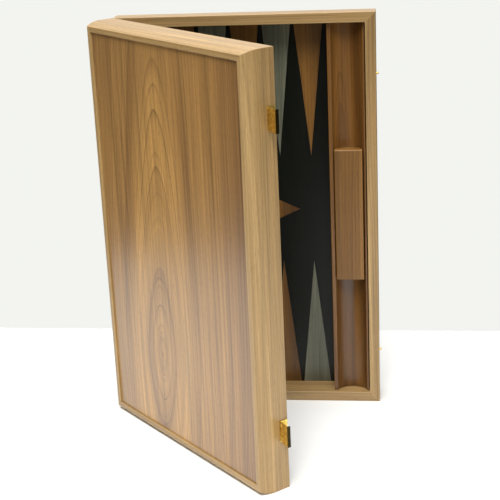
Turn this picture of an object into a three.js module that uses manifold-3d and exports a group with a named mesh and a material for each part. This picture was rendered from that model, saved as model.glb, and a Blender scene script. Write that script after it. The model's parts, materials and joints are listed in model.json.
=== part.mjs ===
// A folding backgammon case: two equal wooden halves joined by two brass butt hinges.
// Each half is a mitred frame with a recessed outer panel, an inlaid playing field and a
// checker rack along its free side. Two brass hasps on the lid hook over studs on the base.
//
// Each half is drawn in its own coordinates, in millimetres: x runs from the hinge line to
// the free side, y from the rim plane out to the back, z along the hinge line. The case stands
// on one short side with its hinge line upright, the base behind and the lid swung open.

import * as THREE from 'three';
import { mergeVertices } from 'three/addons/utils/BufferGeometryUtils.js';
import Module from 'manifold-3d';

const wasm = await Module();
wasm.setup();

// ---- Case ----
const HALF_WIDTH = 300;
const CASE_HEIGHT = 480;
const HALF_DEPTH = 37.5;
const OPENING_DEG = 46;
const RIM_CLEARANCE = 0.15;
const HINGE_SIDE_CLEARANCE = 0.2;

// ---- Frame rails ----
const RAIL_THICKNESS = 12;
const RAIL_FLAT_DEPTH = 17.5;
const RAIL_CURVE_RADIUS = 48;
const RAIL_CURVE_SEGMENTS = 12;
const BACK_LIP_INSET = 10.5;
const REBATE_DEPTH = 31.5;
const MITRE_SETBACK = 0.1;

// ---- Panel, field and inlays ----
const PANEL_INSET = 10.8;
const PANEL_FRONT = 33.8;
const PANEL_THICKNESS = 1.7;
const FIELD_FRONT = 31.7;
const FIELD_THICKNESS = 1.8;
const POINTS_PER_ROW = 6;
const POINT_PITCH = 37.3;
const POINT_BASE_WIDTH = 34;
const POINT_LENGTH = 161;
const FIELD_RIGHT = 243.7;
const DIAMOND_HALF_WIDTH = 78;
const DIAMOND_HALF_HEIGHT = 36;
const INLAY_GAP = 0.15;

// ---- Checker rack ----
const RACK_LEFT = 244.2;
const RACK_RIGHT = 286.8;
const RACK_RIM_DEPTH = 5.8;
const RACK_BACK_DEPTH = 31.4;
const GROOVE_CENTRE_X = 266.6;
const GROOVE_CENTRE_DEPTH = -1.3;
const GROOVE_RADIUS = 19.5;
const GROOVE_SEGMENTS = 36;
const FIT_GAP = 0.3;
const BLOCK_LENGTH = 160;
const BLOCK_HALF_WIDTH = 16.4;
const BLOCK_FRONT_DEPTH = 1;

// ---- Butt hinges ----
const HINGE_CENTRES = [100, 380];
const HINGE_HEIGHT = 40;
const HINGE_LEAF_WIDTH = 9;
const HINGE_LEAF_THICKNESS = 0.9;
const HINGE_KNUCKLES = 5;
const HINGE_KNUCKLE_RADIUS = 2.1;
const HINGE_BORE_RADIUS = 1.15;
const HINGE_PIN_RADIUS = 0.9;
const HINGE_PIN_HEAD_RADIUS = 1.7;
const HINGE_PIN_ROOM = 1.8;
const KNUCKLE_SEGMENTS = 20;
const KNUCKLE_CLEARANCE = 0.25;

// ---- Hasps and studs ----
const HASP_CENTRES = [70, 410];
const HASP_OPEN_DEG = 99;
const HASP_HEIGHT = 24.5;
const HASP_AXIS_DEPTH = 9.8;
const HASP_AXIS_PROUD = 2.6;
const HASP_REACH = 14.4;
const HASP_SHEET = 0.8;
const HASP_SHEET_OFFSET = 0.6;
const HASP_ROOT = 1.7;
const HASP_LIP_CLEARANCE = 0.5;
const HASP_KNUCKLE_RADIUS = 1.4;
const HASP_BORE_RADIUS = 0.8;
const HASP_PIN_RADIUS = 0.6;
const HASP_MIDDLE_KNUCKLE = 10;
const HASP_OUTER_KNUCKLE = 5.2;
const HASP_PLATE_GAP = 0.2;
const HASP_PLATE_FRONT = 1.2;
const STUD_DEPTH = 1.95;
const STUD_HEAD_RADIUS = 1.5;
const STUD_NECK_RADIUS = 1;
const STUD_HEAD_HEIGHT = 1.1;
const STUD_PROUD = 2.8;
const STUD_SEGMENTS = 20;

// Cutting tools run this far past the faces they cut.
const OVERCUT = 1;

const FINISHES = {
  frameWalnut: { color: 0xac8a5f, roughness: 0.5, metalness: 0 },
  panelWalnut: { color: 0xa5784b, roughness: 0.42, metalness: 0 },
  rackWalnut: { color: 0x6e4826, roughness: 0.5, metalness: 0 },
  fieldBlack: { color: 0x16181a, roughness: 0.6, metalness: 0 },
  pointGrey: { color: 0x5f6259, roughness: 0.55, metalness: 0 },
  pointWalnut: { color: 0x7a5530, roughness: 0.5, metalness: 0 },
  brass: { color: 0xa8802c, roughness: 0.35, metalness: 1 },
};

// ---- Shared helpers ----

function makeMesh(name, geometry, finish) {
  geometry.computeVertexNormals();
  const mesh = new THREE.Mesh(geometry, new THREE.MeshStandardMaterial(FINISHES[finish]));
  mesh.name = name;
  return mesh;
}

function toSolid(geometry) {
  const bare = geometry.clone();
  bare.deleteAttribute('normal');
  bare.deleteAttribute('uv');
  const welded = mergeVertices(bare);
  const vertProperties = new Float32Array(welded.attributes.position.array);
  const triVerts = new Uint32Array(welded.index.array);
  return new wasm.Manifold(new wasm.Mesh({ numProp: 3, vertProperties, triVerts }));
}

function toGeometry(solid) {
  const { vertProperties, triVerts } = solid.getMesh();
  const geometry = new THREE.BufferGeometry();
  geometry.setAttribute('position', new THREE.BufferAttribute(vertProperties, 3));
  geometry.setIndex(new THREE.BufferAttribute(triVerts, 1));
  return geometry;
}

function boxSolid(low, high) {
  const size = high.map((value, axis) => value - low[axis]);
  const middle = high.map((value, axis) => (value + low[axis]) / 2);
  return toSolid(new THREE.BoxGeometry(...size).translate(...middle));
}

// An upright cylinder between two heights.
function barSolid(radius, zLow, zHigh, segments) {
  const bar = new THREE.CylinderGeometry(radius, radius, zHigh - zLow, segments);
  return toSolid(bar.rotateX(Math.PI / 2).translate(0, 0, (zLow + zHigh) / 2));
}

// An outline drawn in x and z, made into a plate that starts at a given depth.
function plateGeometry(outline, front, thickness) {
  const plate = new THREE.ExtrudeGeometry(outline, { depth: thickness, bevelEnabled: false });
  return plate.rotateX(Math.PI / 2).translate(0, front + thickness, 0);
}

function polygon(points) {
  return new THREE.Shape(points.map(([x, y]) => new THREE.Vector2(x, y)));
}

// ---- Frame rails ----

// Cross-section of a rail: x is the inset from the case's outer face, y the depth.
function railProfile() {
  const sweep = Math.asin((HALF_DEPTH - RAIL_FLAT_DEPTH) / RAIL_CURVE_RADIUS);
  const profile = new THREE.Shape();
  profile.moveTo(0, RIM_CLEARANCE);
  profile.lineTo(RAIL_THICKNESS, RIM_CLEARANCE);
  profile.lineTo(RAIL_THICKNESS, REBATE_DEPTH);
  profile.lineTo(BACK_LIP_INSET, REBATE_DEPTH);
  profile.lineTo(BACK_LIP_INSET, HALF_DEPTH);
  profile.absarc(RAIL_CURVE_RADIUS, RAIL_FLAT_DEPTH, RAIL_CURVE_RADIUS, Math.PI - sweep, Math.PI, false);
  profile.closePath();
  return profile;
}

// A rail along z with both ends mitred at 45 degrees.
function mitredRail(length) {
  const extrusion = { depth: length, bevelEnabled: false, curveSegments: RAIL_CURVE_SEGMENTS };
  const bar = toSolid(new THREE.ExtrudeGeometry(railProfile(), extrusion));
  const inner = RAIL_THICKNESS + OVERCUT;
  const setback = MITRE_SETBACK * Math.SQRT2;
  const keep = polygon([
    [-OVERCUT, setback - OVERCUT],
    [inner, setback + inner],
    [inner, length - setback - inner],
    [-OVERCUT, length - setback + OVERCUT],
  ]);
  return bar.intersect(toSolid(plateGeometry(keep, -OVERCUT, HALF_DEPTH + 2 * OVERCUT)));
}

// Room in the hinge-side rail for each hinge's knuckles and for its let-in leaf.
function hingeMortise(centre) {
  const low = centre - HINGE_HEIGHT / 2 - FIT_GAP;
  const high = centre + HINGE_HEIGHT / 2 + FIT_GAP;
  const roomRadius = HINGE_KNUCKLE_RADIUS + 2 * KNUCKLE_CLEARANCE;
  const knuckleRoom = barSolid(roomRadius, low - HINGE_PIN_ROOM, high + HINGE_PIN_ROOM, KNUCKLE_SEGMENTS);
  const floor = RIM_CLEARANCE + HINGE_LEAF_THICKNESS + FIT_GAP;
  return knuckleRoom.add(boxSolid([-OVERCUT, -OVERCUT, low], [HINGE_LEAF_WIDTH + FIT_GAP, floor, high]));
}

function addRails(half, prefix, ends) {
  const shortLength = HALF_WIDTH - HINGE_SIDE_CLEARANCE;
  const shortRail = toGeometry(mitredRail(shortLength));

  const low = makeMesh(`${prefix}_rail_${ends.low}`, shortRail.clone(), 'frameWalnut');
  low.rotation.y = -Math.PI / 2;
  low.position.x = HALF_WIDTH;

  const high = makeMesh(`${prefix}_rail_${ends.high}`, shortRail.clone(), 'frameWalnut');
  high.rotation.y = Math.PI / 2;
  high.position.set(HINGE_SIDE_CLEARANCE, 0, CASE_HEIGHT);

  const free = makeMesh(`${prefix}_rail_free`, toGeometry(mitredRail(CASE_HEIGHT)), 'frameWalnut');
  free.rotation.y = Math.PI;
  free.position.set(HALF_WIDTH, 0, CASE_HEIGHT);

  let hingeRail = mitredRail(CASE_HEIGHT).translate([HINGE_SIDE_CLEARANCE, 0, 0]);
  for (const centre of HINGE_CENTRES) {
    hingeRail = hingeRail.subtract(hingeMortise(centre));
  }
  half.add(low, high, free, makeMesh(`${prefix}_rail_hinge`, toGeometry(hingeRail), 'frameWalnut'));
}

// ---- Panel, field and inlays ----

// The panel and the field board share one outline inside the rebate.
const BOARD_LEFT = HINGE_SIDE_CLEARANCE + PANEL_INSET;
const BOARD_RIGHT = HALF_WIDTH - PANEL_INSET;
const BOARD_LOW = PANEL_INSET;
const BOARD_HIGH = CASE_HEIGHT - PANEL_INSET;
const FIELD_MIDDLE_X = (RAIL_THICKNESS + FIELD_RIGHT) / 2;
const POINT_REACH = RAIL_THICKNESS + POINT_LENGTH;

function pointCentre(index) {
  return FIELD_MIDDLE_X + (index - (POINTS_PER_ROW - 1) / 2) * POINT_PITCH;
}

// A point's base corners at the board's edge and its tip, grown by a gap, from the low end.
function pointCorners(index, gap) {
  const x = pointCentre(index);
  const halfWidth = POINT_BASE_WIDTH / 2;
  const slope = Math.atan(halfWidth / POINT_LENGTH);
  const edge = BOARD_LOW;
  const edgeHalfWidth = (halfWidth * (POINT_REACH - edge)) / POINT_LENGTH + gap / Math.cos(slope);
  const tip = POINT_REACH + gap / Math.sin(slope);
  return [[x - edgeHalfWidth, edge], [x, tip], [x + edgeHalfWidth, edge]];
}

function mirrored(points) {
  return points.map(([x, z]) => [x, CASE_HEIGHT - z]).reverse();
}

function diamondCorners(gap) {
  const slope = Math.atan(DIAMOND_HALF_HEIGHT / DIAMOND_HALF_WIDTH);
  const across = DIAMOND_HALF_WIDTH + gap / Math.sin(slope);
  const upward = DIAMOND_HALF_HEIGHT + gap / Math.cos(slope);
  const z = CASE_HEIGHT / 2;
  return [
    [FIELD_MIDDLE_X - across, z],
    [FIELD_MIDDLE_X, z - upward],
    [FIELD_MIDDLE_X + across, z],
    [FIELD_MIDDLE_X, z + upward],
  ];
}

// The black board, with an open notch for each point and a hole for the diamond.
function fieldGeometry() {
  const notches = [];
  for (let index = 0; index < POINTS_PER_ROW; index += 1) {
    notches.push(...pointCorners(index, INLAY_GAP));
  }
  const outline = polygon([
    [BOARD_LEFT, BOARD_LOW],
    ...notches,
    [BOARD_RIGHT, BOARD_LOW],
    [BOARD_RIGHT, BOARD_HIGH],
    ...mirrored(notches),
    [BOARD_LEFT, BOARD_HIGH],
  ]);
  outline.holes.push(polygon(diamondCorners(INLAY_GAP)));
  return plateGeometry(outline, FIELD_FRONT, FIELD_THICKNESS);
}

function addBoards(half, prefix, ends) {
  const sheet = polygon([
    [BOARD_LEFT, BOARD_LOW],
    [BOARD_RIGHT, BOARD_LOW],
    [BOARD_RIGHT, BOARD_HIGH],
    [BOARD_LEFT, BOARD_HIGH],
  ]);
  const panel = plateGeometry(sheet, PANEL_FRONT, PANEL_THICKNESS);
  half.add(makeMesh(`${prefix}_outer_panel`, panel, 'panelWalnut'));
  half.add(makeMesh(`${prefix}_field`, fieldGeometry(), 'fieldBlack'));

  const diamond = plateGeometry(polygon(diamondCorners(0)), FIELD_FRONT, FIELD_THICKNESS);
  half.add(makeMesh(`${prefix}_diamond`, diamond, 'pointWalnut'));

  for (let index = 0; index < POINTS_PER_ROW; index += 1) {
    const corners = pointCorners(index, 0);
    const isOdd = index % 2 === 1;
    const lowPoint = plateGeometry(polygon(corners), FIELD_FRONT, FIELD_THICKNESS);
    const highPoint = plateGeometry(polygon(mirrored(corners)), FIELD_FRONT, FIELD_THICKNESS);
    const lowName = `${prefix}_point_${ends.low}_${index + 1}`;
    const highName = `${prefix}_point_${ends.high}_${index + 1}`;
    half.add(makeMesh(lowName, lowPoint, isOdd ? 'pointGrey' : 'pointWalnut'));
    half.add(makeMesh(highName, highPoint, isOdd ? 'pointWalnut' : 'pointGrey'));
  }
}

// ---- Checker rack ----

function rackGeometry() {
  const rise = RACK_RIM_DEPTH - GROOVE_CENTRE_DEPTH;
  const start = Math.asin(rise / GROOVE_RADIUS);
  const profile = new THREE.Shape();
  profile.moveTo(RACK_LEFT, RACK_BACK_DEPTH);
  profile.lineTo(RACK_LEFT, RACK_RIM_DEPTH);
  profile.absarc(GROOVE_CENTRE_X, GROOVE_CENTRE_DEPTH, GROOVE_RADIUS, Math.PI - start, start, true);
  profile.lineTo(RACK_RIGHT, RACK_RIM_DEPTH);
  profile.lineTo(RACK_RIGHT, RACK_BACK_DEPTH);
  profile.closePath();
  const end = RAIL_THICKNESS + FIT_GAP;
  const extrusion = { depth: CASE_HEIGHT - 2 * end, bevelEnabled: false, curveSegments: GROOVE_SEGMENTS };
  return new THREE.ExtrudeGeometry(profile, extrusion).translate(0, 0, end);
}

// The block that parts the rack in two: flat in front, rounded behind to sit in the groove.
function rackBlockGeometry() {
  const radius = GROOVE_RADIUS - FIT_GAP;
  const start = Math.acos(BLOCK_HALF_WIDTH / radius);
  const profile = new THREE.Shape();
  profile.moveTo(GROOVE_CENTRE_X - BLOCK_HALF_WIDTH, BLOCK_FRONT_DEPTH);
  profile.lineTo(GROOVE_CENTRE_X + BLOCK_HALF_WIDTH, BLOCK_FRONT_DEPTH);
  profile.absarc(GROOVE_CENTRE_X, GROOVE_CENTRE_DEPTH, radius, start, Math.PI - start, false);
  profile.closePath();
  const extrusion = { depth: BLOCK_LENGTH, bevelEnabled: false, curveSegments: GROOVE_SEGMENTS };
  return new THREE.ExtrudeGeometry(profile, extrusion).translate(0, 0, (CASE_HEIGHT - BLOCK_LENGTH) / 2);
}

// ---- Butt hinges ----

function knuckleSpan(centre, index) {
  const pitch = HINGE_HEIGHT / HINGE_KNUCKLES;
  const low = centre - HINGE_HEIGHT / 2 + index * pitch;
  return [low, low + pitch];
}

// A leaf whose own knuckles are the even or the odd ones; the others pass through its gaps.
function hingeLeafGeometry(centre, ownParity) {
  const low = centre - HINGE_HEIGHT / 2;
  const high = centre + HINGE_HEIGHT / 2;
  const back = RIM_CLEARANCE + HINGE_LEAF_THICKNESS;
  let leaf = boxSolid([0, RIM_CLEARANCE, low], [HINGE_LEAF_WIDTH, back, high]);
  for (let index = 0; index < HINGE_KNUCKLES; index += 1) {
    const [from, to] = knuckleSpan(centre, index);
    if (index % 2 === ownParity) {
      leaf = leaf.add(barSolid(HINGE_KNUCKLE_RADIUS, from, to, KNUCKLE_SEGMENTS));
    }
  }
  for (let index = 0; index < HINGE_KNUCKLES; index += 1) {
    const [from, to] = knuckleSpan(centre, index);
    if (index % 2 !== ownParity) {
      const room = HINGE_KNUCKLE_RADIUS + KNUCKLE_CLEARANCE;
      const slack = KNUCKLE_CLEARANCE / 2;
      leaf = leaf.subtract(barSolid(room, from - slack, to + slack, KNUCKLE_SEGMENTS));
    }
  }
  return toGeometry(leaf.subtract(barSolid(HINGE_BORE_RADIUS, low - OVERCUT, high + OVERCUT, KNUCKLE_SEGMENTS)));
}

// A plain pin with a shallow domed head past each end of the knuckles.
function pinGeometry(centre, height, radius, headRadius) {
  const half = height / 2 + FIT_GAP;
  const headHeight = headRadius / 2;
  const outline = [
    [0, -half - headHeight],
    [headRadius * 0.7, -half - headHeight * 0.7],
    [headRadius, -half],
    [radius, -half],
    [radius, half],
    [headRadius, half],
    [headRadius * 0.7, half + headHeight * 0.7],
    [0, half + headHeight],
  ];
  const profile = outline.map(([r, z]) => new THREE.Vector2(r, z));
  return new THREE.LatheGeometry(profile, KNUCKLE_SEGMENTS).rotateX(Math.PI / 2).translate(0, 0, centre);
}

// ---- Hasps and studs ----

// The leaf in its latched attitude: origin on its own axis, reaching along -y, x outward.
function haspLeafGeometry() {
  const half = HASP_HEIGHT / 2;
  const outer = HASP_SHEET_OFFSET + HASP_SHEET;
  const knuckleHalf = HASP_MIDDLE_KNUCKLE / 2;
  const lipEnd = HASP_LIP_CLEARANCE - HASP_AXIS_PROUD;
  const sheet = boxSolid([HASP_SHEET_OFFSET, -HASP_REACH, -half], [outer, -HASP_ROOT, half]);
  const lip = boxSolid([lipEnd, -HASP_REACH, -half], [outer, HASP_SHEET - HASP_REACH, half]);
  const bridge = boxSolid([HASP_SHEET_OFFSET, -2 * HASP_ROOT, -knuckleHalf], [outer, 0, knuckleHalf]);
  const knuckle = barSolid(HASP_KNUCKLE_RADIUS, -knuckleHalf, knuckleHalf, KNUCKLE_SEGMENTS);
  const bore = barSolid(HASP_BORE_RADIUS, -half, half, KNUCKLE_SEGMENTS);
  return toGeometry(sheet.add(lip).add(bridge).add(knuckle).subtract(bore));
}

// The fixed plate under the leaf, with a knuckle above and below the leaf's own.
function haspPlateGeometry() {
  const half = HASP_HEIGHT / 2;
  const innerEnd = HASP_MIDDLE_KNUCKLE / 2 + FIT_GAP;
  const outerEnd = innerEnd + HASP_OUTER_KNUCKLE;
  const face = HASP_PLATE_GAP - HASP_AXIS_PROUD;
  const front = HASP_PLATE_FRONT - HASP_AXIS_DEPTH;
  let plate = boxSolid([face, front, -half], [face + HASP_SHEET, HASP_KNUCKLE_RADIUS, half]);
  for (const [low, high] of [[-outerEnd, -innerEnd], [innerEnd, outerEnd]]) {
    const web = boxSolid([face, -HASP_SHEET, low], [0, HASP_KNUCKLE_RADIUS, high]);
    plate = plate.add(web).add(barSolid(HASP_KNUCKLE_RADIUS, low, high, KNUCKLE_SEGMENTS));
  }
  return toGeometry(plate.subtract(barSolid(HASP_BORE_RADIUS, -half, half, KNUCKLE_SEGMENTS)));
}

// A round-headed stud standing out of the base's free side.
function studGeometry(centre) {
  const head = STUD_PROUD - STUD_HEAD_HEIGHT;
  const outline = [
    [0, HASP_PLATE_GAP],
    [STUD_HEAD_RADIUS, HASP_PLATE_GAP],
    [STUD_NECK_RADIUS, 2 * HASP_PLATE_GAP + FIT_GAP],
    [STUD_NECK_RADIUS, head],
    [STUD_HEAD_RADIUS, head + FIT_GAP],
    [STUD_HEAD_RADIUS, STUD_PROUD - FIT_GAP],
    [STUD_NECK_RADIUS, STUD_PROUD],
    [0, STUD_PROUD],
  ];
  const profile = outline.map(([r, proud]) => new THREE.Vector2(r, proud));
  const stud = new THREE.LatheGeometry(profile, STUD_SEGMENTS).rotateZ(-Math.PI / 2);
  return stud.translate(HALF_WIDTH, STUD_DEPTH, centre);
}

function addHasp(half, level, centre) {
  const seat = new THREE.Group();
  seat.position.set(HALF_WIDTH + HASP_AXIS_PROUD, HASP_AXIS_DEPTH, centre);
  const leaf = makeMesh(`hasp_${level}_leaf`, haspLeafGeometry(), 'brass');
  leaf.rotation.z = THREE.MathUtils.degToRad(HASP_OPEN_DEG);
  const pinLength = HASP_MIDDLE_KNUCKLE + 2 * (FIT_GAP + HASP_OUTER_KNUCKLE);
  const pin = pinGeometry(0, pinLength, HASP_PIN_RADIUS, HASP_KNUCKLE_RADIUS);
  seat.add(makeMesh(`hasp_${level}_plate`, haspPlateGeometry(), 'brass'), leaf);
  seat.add(makeMesh(`hasp_${level}_pin`, pin, 'brass'));
  half.add(seat);
}

// ---- Assembly ----

function makeHalf(prefix, ends) {
  const half = new THREE.Group();
  addRails(half, prefix, ends);
  addBoards(half, prefix, ends);
  half.add(makeMesh(`${prefix}_rack`, rackGeometry(), 'rackWalnut'));
  half.add(makeMesh(`${prefix}_rack_block`, rackBlockGeometry(), 'rackWalnut'));
  return half;
}

const base = makeHalf('base', { low: 'bottom', high: 'top' });
const lid = makeHalf('lid', { low: 'top', high: 'bottom' });

const LEVELS = ['lower', 'upper'];
LEVELS.forEach((level, index) => {
  const hingeZ = HINGE_CENTRES[index];
  const lidHingeZ = CASE_HEIGHT - hingeZ;
  const pin = pinGeometry(hingeZ, HINGE_HEIGHT, HINGE_PIN_RADIUS, HINGE_PIN_HEAD_RADIUS);
  base.add(makeMesh(`hinge_${level}_base_leaf`, hingeLeafGeometry(hingeZ, 0), 'brass'));
  base.add(makeMesh(`hinge_${level}_pin`, pin, 'brass'));
  lid.add(makeMesh(`hinge_${level}_lid_leaf`, hingeLeafGeometry(lidHingeZ, 1), 'brass'));

  const studZ = HASP_CENTRES[index];
  base.add(makeMesh(`stud_${level}`, studGeometry(studZ), 'brass'));
  addHasp(lid, level, CASE_HEIGHT - studZ);
});

// The lid is the same half turned over end for end, then swung open about the hinge line.
lid.rotation.x = Math.PI;
lid.position.z = CASE_HEIGHT;
const swing = new THREE.Group();
swing.rotation.z = -THREE.MathUtils.degToRad(OPENING_DEG);
swing.add(lid);

const set = new THREE.Group();
set.add(base, swing);

// The origin is the middle of the underside of the whole set as it stands.
const extent = new THREE.Box3().setFromObject(set, true);
const middle = extent.getCenter(new THREE.Vector3());
set.position.set(-middle.x, -middle.y, -extent.min.z);

const group = new THREE.Group();
group.add(set);
group.updateMatrixWorld(true);

export default group;
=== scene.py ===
import json
import math

import bmesh
import bpy
from mathutils import Matrix, Vector


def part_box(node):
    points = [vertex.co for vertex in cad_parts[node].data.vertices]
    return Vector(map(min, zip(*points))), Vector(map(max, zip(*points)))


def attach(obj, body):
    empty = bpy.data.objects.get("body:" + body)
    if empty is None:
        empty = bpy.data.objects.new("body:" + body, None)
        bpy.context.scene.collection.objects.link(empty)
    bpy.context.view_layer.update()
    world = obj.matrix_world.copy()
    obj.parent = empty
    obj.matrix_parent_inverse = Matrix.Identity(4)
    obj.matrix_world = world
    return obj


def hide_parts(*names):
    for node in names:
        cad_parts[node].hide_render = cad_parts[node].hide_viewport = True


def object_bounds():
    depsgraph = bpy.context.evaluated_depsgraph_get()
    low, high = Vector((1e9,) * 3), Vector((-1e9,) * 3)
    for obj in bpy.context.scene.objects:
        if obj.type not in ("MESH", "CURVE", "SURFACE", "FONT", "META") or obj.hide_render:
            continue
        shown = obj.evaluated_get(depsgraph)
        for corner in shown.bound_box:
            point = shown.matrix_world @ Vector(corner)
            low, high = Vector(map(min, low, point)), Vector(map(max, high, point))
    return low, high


# A folding walnut backgammon case, standing on end and partly open.
# Each new wooden piece is drawn in its own coordinates, with the grain along its z axis, and
# placed by the frame of the half it belongs to. Lengths are in metres.

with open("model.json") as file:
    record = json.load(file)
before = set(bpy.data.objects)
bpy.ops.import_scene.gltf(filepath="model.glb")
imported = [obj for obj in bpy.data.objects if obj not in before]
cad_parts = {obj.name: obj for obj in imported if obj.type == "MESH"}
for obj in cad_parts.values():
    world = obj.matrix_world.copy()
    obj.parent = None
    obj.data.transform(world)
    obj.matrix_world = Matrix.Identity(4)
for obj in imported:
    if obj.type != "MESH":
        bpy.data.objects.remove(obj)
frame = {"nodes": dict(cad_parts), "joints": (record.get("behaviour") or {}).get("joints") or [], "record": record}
cad_low, cad_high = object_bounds()

MM = 0.001
joints = {joint["name"]: joint for joint in frame["joints"]}
slots = {row["node"]: row["material_slot"] for row in frame["record"]["subparts"]}


# ---- Places and sizes, from the frame ----

lid_hinge = joints["lid_hinge"]
HINGE_X, HINGE_Y, _ = lid_hinge["pos_m"]
OPENING = math.radians(-lid_hinge["range_deg"][0])
HEIGHT = cad_high.z

_, bottom_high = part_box("base_rail_bottom")
free_low, free_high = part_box("base_rail_free")
rack_low, rack_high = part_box("base_rack")
block_low, block_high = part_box("base_rack_block")
leaf_low, leaf_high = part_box("hinge_lower_base_leaf")

WIDTH = free_high.x - HINGE_X
RIM = free_low.y - HINGE_Y
DEPTH = free_high.y - HINGE_Y
RAIL = bottom_high.z
KNUCKLE = HINGE_Y - leaf_low.y
LEAF_WIDTH = leaf_high.x - HINGE_X
LEAF_THICKNESS = 0.9 * MM
LEAF_BACK = RIM + LEAF_THICKNESS

# The drawn rails come closer to the hinge line than the CAD's running clearances, so that
# hardly any light shows between the halves.
HINGE_GAP = 0.05 * MM
RIM_FACE = 0.05 * MM

BASE_FRAME = Matrix.Translation((HINGE_X, HINGE_Y, 0))
LID_FRAME = (
    Matrix.Translation((HINGE_X, HINGE_Y, 0))
    @ Matrix.Rotation(-OPENING, 4, "Z")
    @ Matrix.Translation((0, 0, HEIGHT))
    @ Matrix.Rotation(math.pi, 4, "X")
)

LEVELS = ("lower", "upper")

# Each half: its frame, its body, and the names of its ends at local z = 0 and z = HEIGHT.
HALVES = {
    "base": {"frame": BASE_FRAME, "body": "base_half", "low": "bottom", "high": "top"},
    "lid": {"frame": LID_FRAME, "body": "lid_half", "low": "top", "high": "bottom"},
}

# Rail cross-section: a flat side, then a long curve in to the back lip, and a rebate.
FLAT_DEPTH = 17.5 * MM
CURVE_RADIUS = 48 * MM
CURVE_STEPS = 14
BACK_LIP = 10.5 * MM
REBATE = 31.5 * MM
MITRE_GAP = 0.03 * MM
RAIL_END_EASE = 0.12 * MM
HINGE_ROOM = 0.5 * MM
PIN_ROOM = 2.1 * MM
FIT_GAP = 0.3 * MM

# Radii of the rails' rounded edges.
HINGE_EDGE = 0.08 * MM
OUTER_EDGE = 0.7 * MM
LIP_EDGE = 0.4 * MM
INNER_EDGE = 0.6 * MM

# Rack groove and block.
GROOVE_CENTRE = Vector(((block_low.x + block_high.x) / 2 - HINGE_X, -1.3 * MM))
GROOVE_RADIUS = 19.5 * MM
GROOVE_STEPS = 40
RACK_LEFT_EDGE = 0.6 * MM
GROOVE_EDGE = 0.5 * MM
RACK_RIGHT_EDGE = 0.4 * MM
RACK_END_EASE = 0.1 * MM
BLOCK_EDGE = 0.6 * MM
BLOCK_END_EASE = 0.4 * MM

# Rounded edges: arc steps, the width of flat kept beside each, and the angle from which an
# edge is shaded sharp.
ROUND_STEPS = 4
SUPPORT = 1.1 * MM
SHARP_ANGLE = math.radians(50)

# Hasps and screws.
HASP_LIP_START = 13.55 * MM
LIP_BLEND = 0.1 * MM
BRASS_EASE = 0.12 * MM
BRASS_EASE_ANGLE = math.radians(35)
WELD_DISTANCE = 0.002 * MM
PLATE_PROUD = 1.0 * MM
PLATE_SCREW_DEPTH = 5.2 * MM
PLATE_SCREW_SPREAD = 8.6 * MM
PLATE_SCREW = (1.7 * MM, 0.55 * MM)
HINGE_SCREW = (1.55 * MM, 0.1 * MM)
HINGE_SCREW_INSET = 6 * MM
HINGE_SCREW_SPREAD = 14 * MM


# ---- Mesh helpers ----

def rounded_outline(corners):
    """Points and edge weights of a closed outline. Each corner is (x, y, radius).

    A corner with a radius becomes an arc of weight 1 between two support points of weight 0.
    """
    points, weights = [], []
    count = len(corners)
    for index, (x, y, radius) in enumerate(corners):
        here = Vector((x, y))
        if radius == 0:
            points.append(here)
            weights.append(0.0)
            continue
        before = Vector(corners[index - 1][:2]) - here
        after = Vector(corners[(index + 1) % count][:2]) - here
        half_angle = before.angle(after) / 2
        back = radius / math.tan(half_angle)
        to_centre = (before.normalized() + after.normalized()).normalized()
        centre = here + to_centre * radius / math.sin(half_angle)
        start = here + before.normalized() * back
        end = here + after.normalized() * back
        if before.length > back + 2 * SUPPORT:
            points.append(here + before.normalized() * (back + SUPPORT))
            weights.append(0.0)
        first = start - centre
        turn = first.angle_signed(end - centre)
        for step in range(ROUND_STEPS + 1):
            spun = first.copy()
            spun.rotate(Matrix.Rotation(-turn * step / ROUND_STEPS, 2))
            points.append(centre + spun)
            weights.append(1.0)
        if after.length > back + 2 * SUPPORT:
            points.append(here + after.normalized() * (back + SUPPORT))
            weights.append(0.0)
    return points, weights


def arc(centre, radius, start, end, steps):
    """Square corners along an arc, ends included."""
    angles = [start + (end - start) * step / steps for step in range(steps + 1)]
    return [(centre[0] + radius * math.cos(a), centre[1] + radius * math.sin(a), 0) for a in angles]


def inset(points, amount):
    """The outline moved inwards by an amount."""
    count = len(points)
    area = sum(points[i - 1].cross(points[i]) for i in range(count))
    side = 1 if area > 0 else -1
    moved = []
    for index, point in enumerate(points):
        along = (points[(index + 1) % count] - points[index - 1]).normalized()
        moved.append(point + Vector((-along.y, along.x)) * side * amount)
    return moved


def sweep(name, outline, starts, ends, soften):
    """A bar with the given outline, from z = starts(x) to ends(x), with softened end edges."""
    points, weights = outline
    inner = inset(points, soften)
    rings = [
        (inner, starts, 0.0, 1.0),
        (points, starts, soften, 1.0),
        (points, starts, soften + SUPPORT, 0.0),
        (points, ends, -soften - SUPPORT, 0.0),
        (points, ends, -soften, 1.0),
        (inner, ends, 0.0, 1.0),
    ]
    bm = bmesh.new()
    # Weight 1 on the rounded edges, where the wood shader paints a highlight.
    layer = bm.verts.layers.float.new("arris")
    made = []
    for ring, limit, shift, ring_weight in rings:
        row = []
        for corner, weight in zip(ring, weights):
            vert = bm.verts.new((corner.x, corner.y, limit(corner.x) + shift))
            vert[layer] = max(weight, ring_weight)
            row.append(vert)
        made.append(row)
    count = len(points)
    for low, high in zip(made, made[1:]):
        for index in range(count):
            after = (index + 1) % count
            bm.faces.new((low[index], low[after], high[after], high[index]))
    bm.faces.new(made[0])
    bm.faces.new(made[-1])
    return finish_mesh(name, bm)


def finish_mesh(name, bm):
    """A smooth-shaded mesh from a bmesh, with its square corners kept sharp."""
    bmesh.ops.recalc_face_normals(bm, faces=bm.faces)
    mesh = bpy.data.meshes.new(name)
    bm.to_mesh(mesh)
    bm.free()
    mesh.shade_smooth()
    mesh.set_sharp_from_angle(angle=SHARP_ANGLE)
    return mesh


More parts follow.
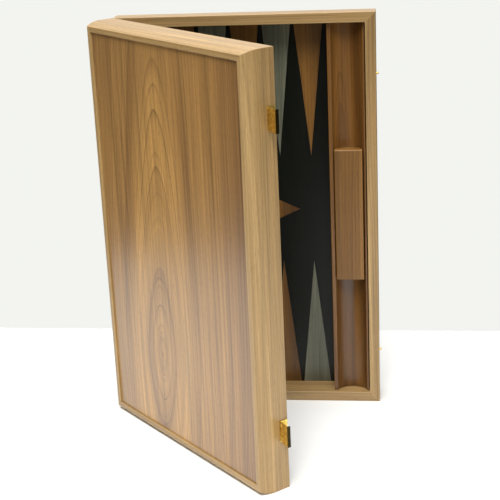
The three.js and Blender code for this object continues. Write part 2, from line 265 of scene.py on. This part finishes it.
def lathe(name, profile, steps=40):
    """A closed turned solid about z. The profile is (radius, z) pairs from the bottom up."""
    bm = bmesh.new()
    rings = []
    for radius, z in profile:
        angles = [2 * math.pi * step / steps for step in range(steps)]
        rings.append([bm.verts.new((radius * math.cos(a), radius * math.sin(a), z)) for a in angles])
    for low, high in zip(rings, rings[1:]):
        for step in range(steps):
            after = (step + 1) % steps
            bm.faces.new((low[step], low[after], high[after], high[step]))
    bm.faces.new(rings[0])
    bm.faces.new(rings[-1])
    return finish_mesh(name, bm)


def box_mesh(name, low, high):
    """A square-edged box between two opposite corners."""
    bm = bmesh.new()
    size = Vector(high) - Vector(low)
    middle = (Vector(high) + Vector(low)) / 2
    bmesh.ops.create_cube(bm, size=1, matrix=Matrix.Translation(middle) @ Matrix.Diagonal((*size, 1)))
    return finish_mesh(name, bm)


def cut(name, mesh, cutters):
    """The mesh with each cutter mesh taken away."""
    body = bpy.data.objects.new("cut_body", mesh)
    bpy.context.scene.collection.objects.link(body)
    tools = []
    for cutter in cutters:
        tool = bpy.data.objects.new("cut_tool", cutter)
        bpy.context.scene.collection.objects.link(tool)
        tools.append(tool)
        change = body.modifiers.new("cut", "BOOLEAN")
        change.operation = "DIFFERENCE"
        change.solver = "EXACT"
        change.object = tool
    depsgraph = bpy.context.evaluated_depsgraph_get()
    result = bpy.data.meshes.new_from_object(body.evaluated_get(depsgraph))
    result.name = name
    for thing in [body, *tools]:
        bpy.data.objects.remove(thing)
    result.set_sharp_from_angle(angle=SHARP_ANGLE)
    return result


def place(name, mesh, matrix, body, material, nodes=()):
    """A new piece that rides on a body and stands for CAD nodes."""
    piece = bpy.data.objects.new(name, mesh)
    bpy.context.scene.collection.objects.link(piece)
    piece.matrix_world = matrix
    mesh.materials.clear()
    mesh.materials.append(material)
    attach(piece, body)
    if nodes:
        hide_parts(*nodes)
    return piece


# ---- Material helpers ----

def linear(red, green, blue):
    """A colour given as 0 to 255 screen values, as the shader's linear colour."""
    def channel(value):
        share = value / 255
        return share / 12.92 if share <= 0.04045 else ((share + 0.055) / 1.055) ** 2.4
    return (channel(red), channel(green), channel(blue), 1.0)


class Shader:
    """A material under construction, with short calls that add and join its nodes."""

    def __init__(self, name):
        self.material = bpy.data.materials.new(name)
        self.material.use_nodes = True
        self.nodes = self.material.node_tree.nodes
        self.links = self.material.node_tree.links
        self.nodes.clear()
        output = self.nodes.new("ShaderNodeOutputMaterial")
        self.surface = self.nodes.new("ShaderNodeBsdfPrincipled")
        self.links.new(self.surface.outputs[0], output.inputs["Surface"])

    def put(self, node, key, value):
        if isinstance(value, bpy.types.NodeSocket):
            self.links.new(value, node.inputs[key])
        else:
            node.inputs[key].default_value = value

    def add(self, kind, inputs, out=0, **settings):
        node = self.nodes.new(kind)
        for key, value in settings.items():
            setattr(node, key, value)
        for key, value in inputs.items():
            self.put(node, key, value)
        return node.outputs[out]

    def coordinates(self, to_grain=None):
        at = self.add("ShaderNodeTexCoord", {}, out="Object")
        if to_grain is None:
            return at
        turned = {"Vector": at, "Location": to_grain.translation, "Rotation": to_grain.to_euler("XYZ")}
        return self.add("ShaderNodeMapping", turned)

    def split(self, vector):
        node = self.nodes.new("ShaderNodeSeparateXYZ")
        self.links.new(vector, node.inputs[0])
        return node.outputs

    def math(self, operation, first, second=0.0):
        return self.add("ShaderNodeMath", {0: first, 1: second}, operation=operation)

    def remap(self, value, low, high, to_low=0.0, to_high=1.0):
        inputs = {"Value": value, "From Min": low, "From Max": high,
                  "To Min": to_low, "To Max": to_high}
        return self.add("ShaderNodeMapRange", inputs)

    def mix(self, share, first, second, blend="MIX"):
        inputs = {0: share, 6: first, 7: second}
        return self.add("ShaderNodeMix", inputs, out=2, data_type="RGBA", blend_type=blend)

    def grey(self, value):
        return self.add("ShaderNodeCombineColor", {0: value, 1: value, 2: value})

    def noise(self, vector, scales, shift, detail=2.0, roughness=0.5):
        moved = self.add("ShaderNodeMapping", {"Vector": vector, "Scale": scales, "Location": shift})
        inputs = {"Vector": moved, "Scale": 1.0, "Detail": detail, "Roughness": roughness}
        return self.add("ShaderNodeTexNoise", inputs)

    def noise_line(self, value, detail=2.0):
        inputs = {"W": value, "Scale": 1.0, "Detail": detail}
        return self.add("ShaderNodeTexNoise", inputs, noise_dimensions="1D")

    def chance(self, value):
        return self.add("ShaderNodeTexWhiteNoise", {"W": value}, noise_dimensions="1D")

    def bump(self, height, strength, distance):
        inputs = {"Height": height, "Strength": strength, "Distance": distance}
        self.put(self.surface, "Normal", self.add("ShaderNodeBump", inputs))


# Scales of the noises in the wood, per metre: twice across the grain, then along it.
WANDER_SCALE = (15, 15, 3.5)
PATCH_SCALE = (11, 11, 2.4)
STREAK_SCALE = (150, 150, 2.6)
FIBRE_SCALE = (380, 380, 5)
PORE_SCALE = (2300, 2300, 110)

# Half the length over which the pith runs level, so that the rings there close into an eye.
EYE_LENGTH = 0.03
COAT_ROUGHNESS = 0.24


def wood(name, palette, seed, pith, to_grain=None, spacing=3 * MM, slope=0.03, power=1.0, eye=-0.1,
         lean=0.0, warp=2 * MM, line=0.85, outer=(1, 2, 0.0), roughness=0.4, coat=0.3, specular=0.5,
         painted_edge_highlight=0.3):
    """Lacquered wood with its grain along z.

    palette: growth line, dark and light colours. pith: x and y of the growth centre.
    slope and power: how the pith leaves the surface on both sides of z = eye, which draws arches.
    lean: how fast it drifts sideways. warp: how far the rings wander.
    line: how strongly the growth lines show. painted_edge_highlight: how much paler the rounded edges are painted,
    as a painted highlight.
    outer: distances from the pith between which the wood darkens, and by how much.
    """
    line_colour, dark, light = palette
    shader = Shader(name)
    at = shader.coordinates(to_grain)
    x, y, z = shader.split(at)
    shift = (seed * 3.17, seed * 1.93, seed * 5.71)

    # Distance from a pith that bows away along the grain, and the growth rings it crosses.
    slow = shader.noise(at, WANDER_SCALE, shift, 3.0)
    wander = shader.math("MULTIPLY", shader.math("SUBTRACT", slow, 0.5), warp * 4)
    along = shader.math("SUBTRACT", z, eye)
    along_squared = shader.math("MULTIPLY", along, along)
    run = shader.math("SQRT", shader.math("ADD", along_squared, EYE_LENGTH * EYE_LENGTH))
    past_eye = shader.math("MAXIMUM", shader.math("SUBTRACT", run, EYE_LENGTH), 0.0)
    rise = shader.math("POWER", past_eye, power)
    bow = shader.math("MULTIPLY", rise, slope)
    drift = shader.math("MULTIPLY", along, lean)
    across = shader.math("SUBTRACT", shader.math("SUBTRACT", x, pith[0]), drift)
    below = shader.math("ADD", shader.math("SUBTRACT", pith[1], y), bow)
    squares = shader.math("ADD", shader.math("MULTIPLY", across, across),
                          shader.math("MULTIPLY", below, below))
    distance = shader.math("ADD", shader.math("SQRT", squares), wander)
    even = shader.math("ADD", shader.math("DIVIDE", distance, spacing), seed * 7.3)
    uneven = shader.math("MULTIPLY", shader.noise_line(shader.math("MULTIPLY", even, 0.37)), 3.0)
    ring = shader.math("ADD", even, uneven)
    number = shader.math("FLOOR", ring)
    age = shader.math("FRACT", ring)

    # Late growth darkens towards the end of each ring, more in some rings than in others.
    darkening = shader.math("POWER", shader.remap(age, 0.3, 0.92), 3.0)
    late = shader.math("MULTIPLY", darkening, shader.remap(age, 0.92, 1.0, 1.0, 0.0))
    weight = shader.math("POWER", shader.chance(shader.math("ADD", number, seed)), 1.4)
    late = shader.math("MULTIPLY", late, shader.remap(weight, 0.0, 1.0, 0.2, 1.0))
    tone = shader.chance(shader.math("ADD", number, seed + 40.5))
    broad = shader.noise_line(shader.math("MULTIPLY", ring, 0.16), 3.0)
    patch = shader.noise(at, PATCH_SCALE, shift, 2.0)

    # Streaks, fibres and open pores.
    streak = shader.noise(at, STREAK_SCALE, shift, 2.0, 0.6)
    fibre = shader.noise(at, FIBRE_SCALE, shift, 5.0, 0.72)
    pores = shader.noise(at, PORE_SCALE, shift, 1.0)
    pore = shader.remap(pores, 0.6, 0.7)

    share = shader.math("ADD", shader.remap(broad, 0.3, 0.7, 0.0, 0.65),
                        shader.remap(tone, 0.0, 1.0, 0.0, 0.2))
    share = shader.math("ADD", share, shader.remap(patch, 0.3, 0.7, 0.0, 0.35))
    colour = shader.mix(share, dark, light)
    colour = shader.mix(shader.remap(distance, outer[0], outer[1], 0.0, outer[2]), colour, dark)
    colour = shader.mix(shader.math("MULTIPLY", late, line), colour, line_colour)
    shade = shader.math("MULTIPLY", shader.remap(streak, 0.3, 0.7, 0.86, 1.13),
                        shader.remap(fibre, 0.3, 0.7, 0.66, 1.32))
    colour = shader.mix(1.0, colour, shader.grey(shade), "MULTIPLY")
    colour = shader.mix(shader.math("MULTIPLY", pore, 0.35), colour, line_colour)

    # The rounded edges are painted paler than the faces, as a painted highlight along them.
    edge = shader.add("ShaderNodeAttribute", {}, out="Fac", attribute_name="arris")
    colour = shader.mix(shader.math("MULTIPLY", edge, painted_edge_highlight), colour, light)
    shader.put(shader.surface, "Base Color", colour)

    dull = shader.math("ADD", shader.remap(fibre, 0.3, 0.7, roughness - 0.05, roughness + 0.08),
                       shader.math("MULTIPLY", pore, 0.15))
    shader.put(shader.surface, "Roughness", dull)
    height = shader.math("SUBTRACT", shader.math("MULTIPLY", fibre, 0.5), pore)
    shader.bump(height, 0.3, 0.06 * MM)
    shader.surface.inputs["Specular IOR Level"].default_value = specular
    shader.surface.inputs["Coat Weight"].default_value = coat
    shader.surface.inputs["Coat Roughness"].default_value = COAT_ROUGHNESS
    return shader.material


# Scales of the noises in the brass, per metre.
MARKS_SCALE = (1100, 1100, 1500)
TARNISH_SCALE = (260, 260, 260)


def brass(name, seed, lip_axis=None):
    """Worn brass with fine tooling marks. Beyond HASP_LIP_START from lip_axis it is blackened."""
    shader = Shader(name)
    at = shader.coordinates()
    shift = (seed, seed * 2.1, seed * 0.7)
    marks = shader.noise(at, MARKS_SCALE, shift, 3.0, 0.6)
    tarnish = shader.noise(at, TARNISH_SCALE, shift, 4.0, 0.6)
    colour = shader.mix(shader.remap(tarnish, 0.36, 0.62), BRASS_CLEAN, BRASS_WORN)
    if lip_axis:
        x, y, _ = shader.split(at)
        across = shader.math("SUBTRACT", x, lip_axis[0])
        along = shader.math("SUBTRACT", y, lip_axis[1])
        squares = shader.math("ADD", shader.math("MULTIPLY", across, across),
                              shader.math("MULTIPLY", along, along))
        reach = shader.math("SQRT", squares)
        black = shader.remap(reach, HASP_LIP_START, HASP_LIP_START + LIP_BLEND)
        colour = shader.mix(shader.math("MULTIPLY", black, 0.96), colour, BRASS_BLACKENED)
    shader.put(shader.surface, "Base Color", colour)
    shader.put(shader.surface, "Roughness", shader.remap(marks, 0.3, 0.7, 0.26, 0.46))
    shader.bump(marks, 0.35, 0.03 * MM)
    shader.surface.inputs["Metallic"].default_value = 1.0
    return shader.material


# ---- Colours and grain ----

# Woods: growth line, dark, light.

FRAME_WALNUT = (linear(98, 70, 37), linear(138, 108, 64), linear(176, 144, 94))
PANEL_WALNUT = (linear(76, 48, 26), linear(121, 85, 45), linear(196, 150, 83))
RACK_WALNUT = (linear(46, 26, 9), linear(76, 45, 15), linear(122, 82, 34))
BLOCK_WALNUT = (linear(52, 30, 9), linear(98, 64, 22), linear(146, 103, 44))
POINT_WALNUT = (linear(34, 18, 5), linear(76, 48, 15), linear(120, 82, 31))
POINT_GREY = (linear(42, 44, 35), linear(80, 81, 66), linear(108, 108, 90))
FIELD_BLACK = (linear(2, 4, 1), linear(4, 7, 2), linear(9, 13, 6))

BRASS_CLEAN = linear(248, 220, 120)
BRASS_WORN = linear(212, 174, 80)
BRASS_BLACKENED = linear(22, 22, 18)
WALL_PALE = linear(243, 244, 239)
TABLE_PALE = (0.88, 0.88, 0.86, 1)
TABLE_ROUGHNESS = 0.8

# Each outer panel's figure: its seed, and the place of its eye across and along the panel.
PANEL_FIGURE = {
    "base": (4.9, 165 * MM, 150 * MM),
    "lid": (1.7, 114.5 * MM, 373 * MM),
}

# Seeds that set the grain of the two halves apart.
RAIL_SEED = {"base": 6.2, "lid": 1.4}
RACK_SEED = {"base": 3.3, "lid": 8.1}
BLOCK_SEED_STEP = 2.6

# The inlaid points: the seed before each half's first one, and the step from one to the next.
POINT_SEED = {"base": 0.37, "lid": 11.3}
POINT_SEED_STEP = 1.61


# ---- Frame rails ----

def rail_outline(rim_radius):
    """The rail's section: x in from the outer face, y back from the rim."""
    sweep_angle = math.asin((DEPTH - FLAT_DEPTH) / CURVE_RADIUS)
    curve = arc((CURVE_RADIUS, FLAT_DEPTH), CURVE_RADIUS, math.pi, math.pi - sweep_angle, CURVE_STEPS)
    lip_x, lip_y, _ = curve[-1]
    corners = [
        (0, RIM_FACE, rim_radius),
        *curve[:-2],
        (lip_x, lip_y, OUTER_EDGE),
        (BACK_LIP, DEPTH, LIP_EDGE),
        (BACK_LIP, REBATE, 0),
        (RAIL, REBATE, 0),
        (RAIL, RIM_FACE, INNER_EDGE),
    ]
    return rounded_outline(corners)


def hinge_cutters():
    """Cutters for the knuckles and let-in leaves, in the hinge rail's own coordinates."""
    cutters = []
    for level in LEVELS:
        low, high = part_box(f"hinge_{level}_base_leaf")
        radius = KNUCKLE + HINGE_ROOM
        room = lathe("room", [(radius, low.z - PIN_ROOM), (radius, high.z + PIN_ROOM)])
        room.transform(Matrix.Translation((-HINGE_GAP, 0, 0)))
        seat = box_mesh(
            "seat",
            (-MM, -MM, low.z - FIT_GAP),
            (LEAF_WIDTH + FIT_GAP - HINGE_GAP, LEAF_BACK + FIT_GAP, high.z + FIT_GAP),
        )
        cutters += [room, seat]
    return cutters


def make_rails(half, info):
    short = WIDTH - HINGE_GAP
    flat_turn = Matrix.Rotation(math.pi / 2, 4, "Y")
    rails = {
        info["low"]: (short, Matrix.Translation((WIDTH, 0, 0)) @ flat_turn.inverted()),
        info["high"]: (short, Matrix.Translation((HINGE_GAP, 0, HEIGHT)) @ flat_turn),
        "free": (HEIGHT, Matrix.Translation((WIDTH, 0, HEIGHT)) @ Matrix.Rotation(math.pi, 4, "Y")),
        "hinge": (HEIGHT, Matrix.Translation((HINGE_GAP, 0, 0))),
    }
    for order, (side, (length, placed)) in enumerate(rails.items()):
        name = f"{half}_rail_{side}"
        rim_radius = HINGE_EDGE if side == "hinge" else OUTER_EDGE
        mesh = sweep(
            f"{name}_wood",
            rail_outline(rim_radius),
            lambda x: x + MITRE_GAP,
            lambda x, end=length: end - x - MITRE_GAP,
            RAIL_END_EASE,
        )
        if side == "hinge":
            mesh = cut(f"{name}_wood", mesh, hinge_cutters())
        seed = order + RAIL_SEED[half]
        pith = (60 * MM + 6 * MM * order, -30 * MM - 9 * MM * order)
        material = wood(f"{name}_walnut", FRAME_WALNUT, seed, pith, spacing=2.9 * MM, slope=0.035,
                        eye=0.12 * order - 0.2, line=0.45, painted_edge_highlight=0.45)
        place(f"{name}_wood", mesh, info["frame"] @ placed, info["body"], material,
              [name])


# ---- Racks ----

def rack_outline():
    left, right = rack_low.x - HINGE_X, rack_high.x - HINGE_X
    top, back = rack_low.y - HINGE_Y, rack_high.y - HINGE_Y
    rise = math.asin((top - GROOVE_CENTRE.y) / GROOVE_RADIUS)
    groove = arc(GROOVE_CENTRE, GROOVE_RADIUS, math.pi - rise, rise, GROOVE_STEPS)
    corners = [
        (left, back, 0),
        (left, top, RACK_LEFT_EDGE),
        (groove[0][0], top, GROOVE_EDGE),
        *groove[2:-2],
        (groove[-1][0], top, GROOVE_EDGE),
        (right, top, RACK_RIGHT_EDGE),
        (right, back, 0),
    ]
    return rounded_outline(corners)


def block_outline():
    half_width = (block_high.x - block_low.x) / 2
    front = block_low.y - HINGE_Y
    radius = GROOVE_RADIUS - FIT_GAP
    start = math.acos(half_width / radius)
    corners = [
        (GROOVE_CENTRE.x - half_width, front, BLOCK_EDGE),
        (GROOVE_CENTRE.x + half_width, front, BLOCK_EDGE),
        *arc(GROOVE_CENTRE, radius, start, math.pi - start, GROOVE_STEPS),
    ]
    return rounded_outline(corners)


def make_rack(half, info):
    seed = RACK_SEED[half]
    rack_material = wood(f"{half}_rack_walnut", RACK_WALNUT, seed, (225 * MM, 70 * MM),
                         spacing=3.4 * MM, line=0.6, roughness=0.34, coat=0.35, painted_edge_highlight=0.5)
    rack = sweep(f"{half}_rack_wood", rack_outline(),
                 lambda x: rack_low.z, lambda x: rack_high.z, RACK_END_EASE)
    place(f"{half}_rack_wood", rack, info["frame"], info["body"], rack_material,
          [f"{half}_rack"])

    block_material = wood(f"{half}_block_walnut", BLOCK_WALNUT, seed + BLOCK_SEED_STEP, (310 * MM, 50 * MM),
                          spacing=3 * MM, coat=0.1, painted_edge_highlight=0.25)
    block = sweep(f"{half}_rack_block_wood", block_outline(),
                  lambda x: block_low.z, lambda x: block_high.z, BLOCK_END_EASE)
    place(f"{half}_rack_block_wood", block, info["frame"], info["body"], block_material,
          [f"{half}_rack_block"])


# ---- Finishes of the carried-over CAD pieces ----

def dress(node, material, ease=0.0):
    """Gives a CAD node its finish, and eases its edges."""
    piece = frame["nodes"][node]
    piece.data.materials.clear()
    piece.data.materials.append(material)
    if ease:
        weld = piece.modifiers.new("weld", "WELD")
        weld.merge_threshold = WELD_DISTANCE
        bevel = piece.modifiers.new("ease", "BEVEL")
        bevel.width = ease
        bevel.segments = 2
        bevel.limit_method = "ANGLE"
        bevel.angle_limit = BRASS_EASE_ANGLE
        bevel.harden_normals = True


def dress_boards(half, info):
    to_half = info["frame"].inverted()
    panel_seed, eye_across, eye_along = PANEL_FIGURE[half]
    panel = wood(f"{half}_panel_walnut", PANEL_WALNUT, panel_seed, (eye_across, 38 * MM),
                 to_grain=to_half, spacing=3.6 * MM, slope=0.11, power=0.55, eye=eye_along,
                 lean=-0.06, warp=1.8 * MM, line=0.6, outer=(40 * MM, 165 * MM, 0.85),
                 roughness=0.34, coat=0.75)
    dress(f"{half}_outer_panel", panel)
    field = wood(f"{half}_field_stain", FIELD_BLACK, 2.6, (90 * MM, 120 * MM), to_grain=to_half,
                 line=0.5, roughness=0.34, coat=0.0, specular=0.34)
    dress(f"{half}_field", field)
    diamond = wood(f"{half}_diamond_walnut", POINT_WALNUT, 7.7, (128 * MM, 90 * MM),
                   to_grain=to_half, line=0.6, roughness=0.34, coat=0.2)
    dress(f"{half}_diamond", diamond)
    seed = POINT_SEED[half]
    for end in ("top", "bottom"):
        for number in range(1, 7):
            seed += POINT_SEED_STEP
            node = f"{half}_point_{end}_{number}"
            palette = POINT_GREY if slots[node] == "point_grey" else POINT_WALNUT
            pith = (37 * MM * number + 30 * MM * math.sin(seed), 75 * MM)
            veneer = wood(f"{node}_veneer", palette, seed, pith, to_grain=to_half, spacing=2.4 * MM,
                          slope=0.02, line=0.5, roughness=0.34, coat=0.2)
            dress(node, veneer)


def dress_brass():
    nodes = sorted(node for node, slot in slots.items() if slot == "brass")
    hasp_axes = {f"hasp_{level}_leaf": joints[f"{level}_hasp_hinge"]["pos_m"] for level in LEVELS}
    for seed, node in enumerate(nodes):
        lip_axis = hasp_axes.get(node)
        dress(node, brass(f"{node}_brass", seed + 0.5, lip_axis), ease=BRASS_EASE)


# ---- Screws ----

def screw_mesh(name, radius, height):
    """A low domed head with a slot across it. Its underside is at z = 0."""
    profile = [(radius, 0), (radius, 0.45 * height), (0.9 * radius, 0.8 * height),
               (0.6 * radius, 0.95 * height), (0.2 * radius, height)]
    slot_low = (-2 * radius, -0.14 * radius, 0.3 * height)
    slot_high = (2 * radius, 0.14 * radius, MM)
    slot = box_mesh("slot", slot_low, slot_high)
    return cut(name, lathe(name, profile), [slot])


def make_screws():
    # Screw coordinates: z points out of the metal, towards the rim plane or the free side.
    out_of_rim = Matrix.Rotation(math.pi / 2, 4, "X")
    out_of_side = Matrix.Rotation(math.pi / 2, 4, "Y")
    metal = brass("screw_brass", 31.0)
    for half, info in HALVES.items():
        for level in LEVELS:
            low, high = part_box(f"hinge_{level}_base_leaf")
            middle = (low.z + high.z) / 2
            for index, offset in enumerate((-HINGE_SCREW_SPREAD, 0, HINGE_SCREW_SPREAD)):
                name = f"hinge_{level}_{half}_screw_{index + 1}"
                local_z = middle if half == "base" else HEIGHT - middle
                spot = Matrix.Translation((HINGE_SCREW_INSET, RIM, local_z + offset))
                spin = Matrix.Rotation(0.6 + 1.3 * index, 4, "Z")
                mesh = screw_mesh(name, *HINGE_SCREW)
                placed = info["frame"] @ spot @ out_of_rim @ spin
                place(name, mesh, placed, info["body"], metal)
    for level in LEVELS:
        middle = HEIGHT - joints[f"{level}_hasp_hinge"]["pos_m"][2]
        for index, offset in enumerate((-PLATE_SCREW_SPREAD, PLATE_SCREW_SPREAD)):
            name = f"hasp_{level}_screw_{index + 1}"
            spot = Matrix.Translation((WIDTH + PLATE_PROUD, PLATE_SCREW_DEPTH, middle + offset))
            spin = Matrix.Rotation(0.4 + 1.1 * index, 4, "Z")
            mesh = screw_mesh(name, *PLATE_SCREW)
            placed = LID_FRAME @ spot @ out_of_side @ spin
            place(name, mesh, placed, "lid_half", metal)


for half_name, half_info in HALVES.items():
    make_rails(half_name, half_info)
    make_rack(half_name, half_info)
    dress_boards(half_name, half_info)
dress_brass()
make_screws()


# ---- Stage, light and camera ----

# A pale table top. The room beyond it is dim, so lacquer shines where it mirrors the table.
TABLE_LEFT, TABLE_RIGHT = -0.75, 0.9
TABLE_FRONT, TABLE_BACK = -0.65, 0.33

# The room's light against the height of the direction: dim below the first, full above the second.
ROOM_LIGHT = {"From Min": -0.03, "From Max": 0.12, "To Min": 0.06, "To Max": 0.3}


def make_floor():
    bm = bmesh.new()
    corners = [(TABLE_LEFT, TABLE_FRONT), (TABLE_RIGHT, TABLE_FRONT),
               (TABLE_RIGHT, TABLE_BACK), (TABLE_LEFT, TABLE_BACK)]
    bm.faces.new([bm.verts.new((x, y, 0)) for x, y in corners])
    floor = bpy.data.objects.new("floor", finish_mesh("floor", bm))
    bpy.context.scene.collection.objects.link(floor)
    shader = Shader("floor_pale")
    shader.surface.inputs["Base Color"].default_value = TABLE_PALE
    shader.surface.inputs["Roughness"].default_value = TABLE_ROUGHNESS
    floor.data.materials.append(shader.material)


def area_light(name, location, target, size, power, glossy=True):
    """A square lamp that the camera does not see. One that is not glossy gives no reflection."""
    light = bpy.data.lights.new(name, "AREA")
    light.shape = "SQUARE"
    light.size = size
    light.energy = power
    lamp = bpy.data.objects.new(name, light)
    lamp.visible_camera = False
    lamp.visible_glossy = glossy
    bpy.context.scene.collection.objects.link(lamp)
    aim = Vector(target) - Vector(location)
    lamp.matrix_world = Matrix.Translation(location) @ aim.to_track_quat("-Z", "Y").to_matrix().to_4x4()


def make_light():
    """Large lamps above and behind, and a weak one low in front."""
    area_light("key", (0.15, -1.5, 2.3), (0, 0, 0.24), 0.8, 31)
    area_light("overhead", (-0.15, -0.4, 2.2), (-0.05, -0.05, 0.1), 1.6, 60)
    area_light("low_fill", (0.05, -0.5, 0.02), (0, 0, 0.2), 0.6, 1.4, glossy=False)
    area_light("rear", (-0.2, 2.2, 1.6), (0, 0, 0.24), 2.4, 10)


def make_room():
    """A plain pale backdrop to look at. It lights softly from above, and hardly from below."""
    world = bpy.data.worlds.new("studio")
    bpy.context.scene.world = world
    world.use_nodes = True
    nodes, links = world.node_tree.nodes, world.node_tree.links
    dim = nodes["Background"]
    dim.inputs["Color"].default_value = (1.0, 1.0, 0.97, 1)
    direction = nodes.new("ShaderNodeTexCoord")
    height = nodes.new("ShaderNodeSeparateXYZ")
    strength = nodes.new("ShaderNodeMapRange")
    for key, value in ROOM_LIGHT.items():
        strength.inputs[key].default_value = value
    links.new(direction.outputs["Generated"], height.inputs[0])
    links.new(height.outputs["Z"], strength.inputs["Value"])
    links.new(strength.outputs[0], dim.inputs["Strength"])
    pale = nodes.new("ShaderNodeBackground")
    pale.inputs["Color"].default_value = WALL_PALE
    seen = nodes.new("ShaderNodeLightPath")
    mixed = nodes.new("ShaderNodeMixShader")
    links.new(seen.outputs["Is Camera Ray"], mixed.inputs[0])
    links.new(dim.outputs[0], mixed.inputs[1])
    links.new(pale.outputs[0], mixed.inputs[2])
    links.new(mixed.outputs[0], nodes["World Output"].inputs["Surface"])


# The viewpoint, measured from the foot of the hinge line.
VIEW_FROM = Vector((0.3440, -1.4293, 0.6851))
VIEW_YAW = math.radians(-7.868)
VIEW_PITCH = math.radians(-18.645)
VIEW_ROLL = math.radians(-2.625)
VIEW_LENS = 91.03
VIEW_SENSOR = 36


def make_camera():
    data = bpy.data.cameras.new("camera")
    data.sensor_width = VIEW_SENSOR
    data.lens = VIEW_LENS
    data.clip_start = 0.05
    data.clip_end = 50
    camera = bpy.data.objects.new("camera", data)
    bpy.context.scene.collection.objects.link(camera)
    forward = Vector((
        math.sin(VIEW_YAW) * math.cos(VIEW_PITCH),
        math.cos(VIEW_YAW) * math.cos(VIEW_PITCH),
        math.sin(VIEW_PITCH),
    ))
    level = Vector((math.cos(VIEW_YAW), -math.sin(VIEW_YAW), 0))
    upright = level.cross(forward)
    right = level * math.cos(VIEW_ROLL) + upright * math.sin(VIEW_ROLL)
    up = upright * math.cos(VIEW_ROLL) - level * math.sin(VIEW_ROLL)
    turned = Matrix((right, up, -forward)).transposed().to_4x4()
    camera.matrix_world = Matrix.Translation(VIEW_FROM + Vector((HINGE_X, HINGE_Y, 0))) @ turned
    bpy.context.scene.camera = camera


make_floor()
make_light()
make_room()
make_camera()
bpy.context.scene.view_settings.view_transform = "Standard"
